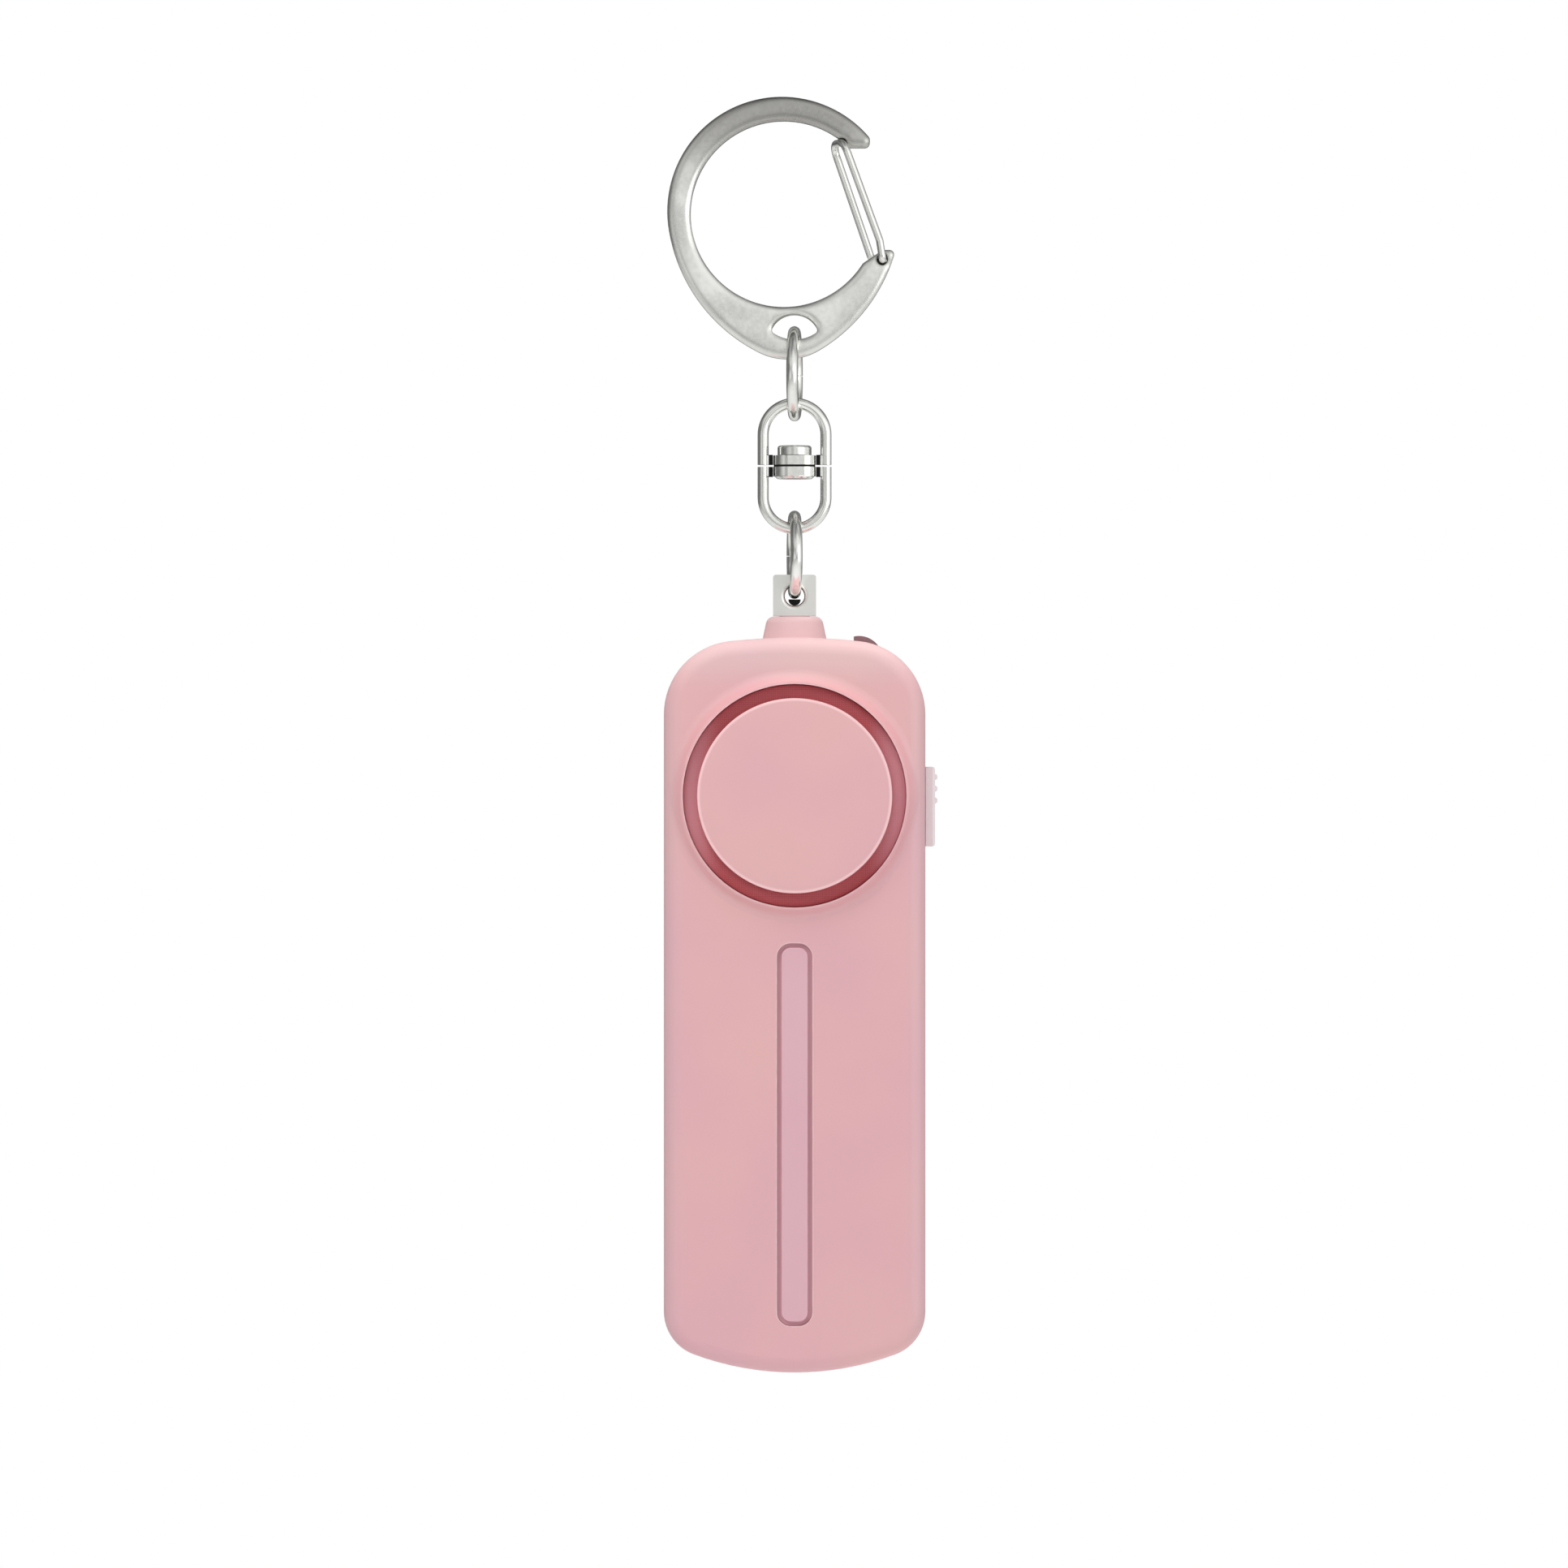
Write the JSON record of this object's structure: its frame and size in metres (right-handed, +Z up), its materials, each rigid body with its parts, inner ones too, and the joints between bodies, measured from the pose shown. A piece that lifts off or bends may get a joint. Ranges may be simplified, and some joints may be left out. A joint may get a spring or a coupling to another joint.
{
  "type": "personal safety alarm",
  "caption": "Slim pocket alarm with a round sounder, hanging by its pull pin from a swivel chain and a snap hook with a wire gate.",
  "frame": {"origin": "the point inside the snap hook where it bears on the strap or ring that it hangs from", "axes": "+Z up along the hanging chain, the sounder's side faces -Y, +X to the right of someone looking at the sounder"},
  "size_m": [0.0321, 0.0166, 0.1498],
  "materials": {
    "pink_shell": "satin",
    "bar_pink": "satin",
    "dark_red_mesh": "matte",
    "plated_steel": "polished",
    "pin_steel": "satin",
    "inner_steel": "satin",
    "switch_grey": "satin",
    "lamp_tint": "gloss",
    "led_clear": "gloss",
    "black_plastic": "matte",
    "white_plastic": "matte",
    "board_green": "gloss",
    "brass": "satin",
    "ceramic": "matte",
    "cell_can": "satin"
  },
  "bodies": {
    "hook": {"snap_hook": "plated_steel"},
    "gate": {"hook_gate": "plated_steel"},
    "upper_ring": {"upper_link_ring": "plated_steel"},
    "swivel_upper": {"swivel_upper_loop": "plated_steel"},
    "swivel_lower": {"swivel_lower_loop": "plated_steel", "swivel_rivet": "plated_steel"},
    "lower_ring": {"lower_link_ring": "plated_steel"},
    "pull_pin": {"pin_tab": "pin_steel", "pin_insulator_tip": "black_plastic"},
    "switch": {"switch_cap": "switch_grey", "switch_slider": "black_plastic"},
    "door": {"battery_door": "pink_shell"},
    "housing": {"front_shell": "pink_shell", "rear_shell": "pink_shell", "case_screws": "inner_steel", "pin_collar": "pink_shell", "speaker_cap": "pink_shell", "sound_mesh_ring": "dark_red_mesh", "inlay_bar": "bar_pink", "lamp_window": "lamp_tint", "lamp_led": "led_clear", "slide_switch_body": "inner_steel", "buzzer_holder": "white_plastic", "buzzer_plate": "brass", "buzzer_ceramic": "ceramic", "buzzer_pins": "brass", "circuit_board": "board_green", "board_screws": "inner_steel", "controller_chip": "black_plastic", "boost_coil": "black_plastic", "contact_block": "black_plastic", "contact_leaf_left": "brass", "contact_leaf_right": "brass", "battery_tray": "white_plastic", "battery_cell_left": "cell_can", "battery_cell_right": "cell_can", "battery_plus_plate": "inner_steel", "battery_minus_plate": "inner_steel", "battery_link_plate": "inner_steel", "battery_springs": "inner_steel"}
  },
  "joints": [
    {"name": "gate_hinge", "type": "hinge", "parent": "hook", "child": "gate", "pos_m": [0.01035, 0, -0.0163], "axis": [0, -1, 0], "range_deg": [0, 40], "stiffness_Nm_per_rad": 0.02, "springref_deg": -8.59},
    {"name": "upper_ring_swing", "type": "hinge", "parent": "hook", "child": "upper_ring", "pos_m": [0, 0, -0.02478], "axis": [0, 1, 0], "range_deg": [-75, 75]},
    {"name": "swivel_swing", "type": "hinge", "parent": "upper_ring", "child": "swivel_upper", "pos_m": [0, 0, -0.03316], "axis": [1, 0, 0], "range_deg": [-60, 60]},
    {"name": "swivel_spin", "type": "hinge", "parent": "swivel_upper", "child": "swivel_lower", "pos_m": [0, 0, -0.04054], "axis": [0, 0, 1], "continuous": true},
    {"name": "lower_ring_swing", "type": "hinge", "parent": "swivel_lower", "child": "lower_ring", "pos_m": [0, 0, -0.04791], "axis": [1, 0, 0], "range_deg": [-60, 60]},
    {"name": "pin_swing", "type": "hinge", "parent": "lower_ring", "child": "pull_pin", "pos_m": [0, 0, -0.05549], "axis": [0, 1, 0], "range_deg": [-75, 75]},
    {"name": "pin_pull", "type": "slide", "parent": "pull_pin", "child": "housing", "axis": [0, 0, -1], "range_m": [0, 0.014]},
    {"name": "switch_slide", "type": "slide", "parent": "housing", "child": "switch", "axis": [0, 0, -1], "range_m": [0, 0.002]},
    {"name": "door_slide", "type": "slide", "parent": "housing", "child": "door", "axis": [0, 0, -1], "range_m": [0, 0.052]}
  ]
}
